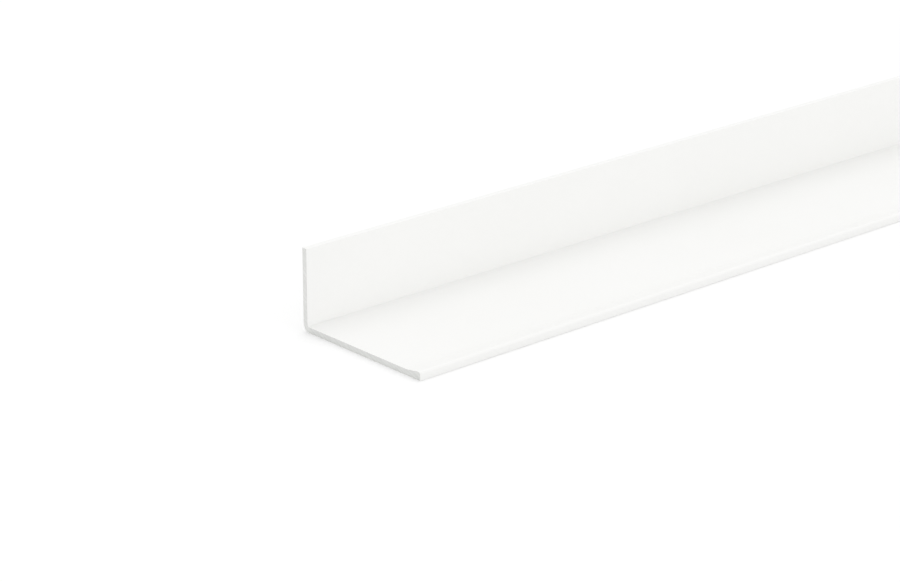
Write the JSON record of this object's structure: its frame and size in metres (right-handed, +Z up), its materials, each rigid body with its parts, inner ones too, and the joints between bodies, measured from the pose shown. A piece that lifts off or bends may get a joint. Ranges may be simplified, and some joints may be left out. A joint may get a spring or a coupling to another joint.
{
  "type": "aluminium angle profile",
  "caption": "White-coated aluminium angle with a wide flat leg, a short upright leg, a rounded heel and a sloped lip on the free edge, for edging or supporting panels.",
  "frame": {"origin": "middle of the bar's outline on the floor: half its length, half the width of the wide leg, at the underside", "axes": "+X along the bar, +Y from the free edge towards the heel and the upright leg, +Z up"},
  "size_m": [1, 0.04, 0.02],
  "materials": {
    "white_coat": "satin"
  },
  "bodies": {
    "root": {"angle_profile": "white_coat"}
  },
  "joints": []
}
